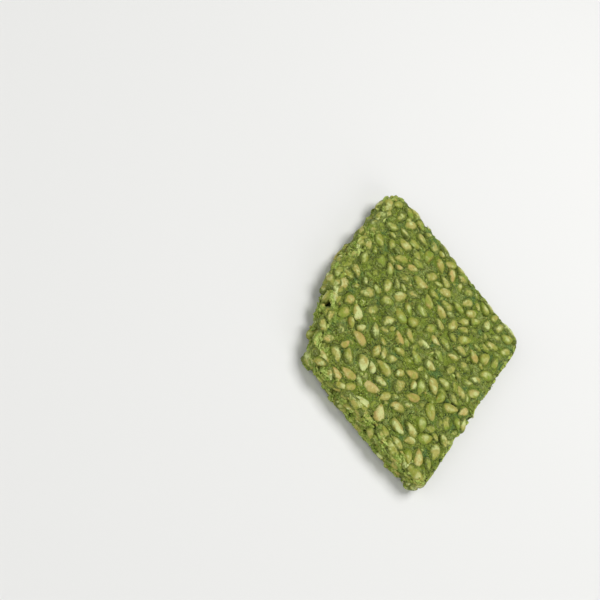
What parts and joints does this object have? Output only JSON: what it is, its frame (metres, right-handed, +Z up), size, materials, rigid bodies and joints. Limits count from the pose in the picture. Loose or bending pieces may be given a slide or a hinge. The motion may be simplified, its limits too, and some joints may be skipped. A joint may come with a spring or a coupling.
{
  "type": "matcha sesame cracker",
  "caption": "Thin matcha green cracker packed with whole sesame seeds, cut to a slightly slanted square with crumbly sides, lying flat.",
  "frame": {"origin": "under the middle of the bounding box, on the surface the cracker lies on", "axes": "+Z up out of the seeded face that the picture shows, -Y towards the short front side, +X towards the square-cut right side"},
  "size_m": [0.0427, 0.0459, 0.0045],
  "materials": {
    "matcha_sesame": "baked matcha paste with toasted sesame seeds, slightly glossy"
  },
  "bodies": {
    "root": {"sesame_cracker": "matcha_sesame"}
  },
  "joints": []
}
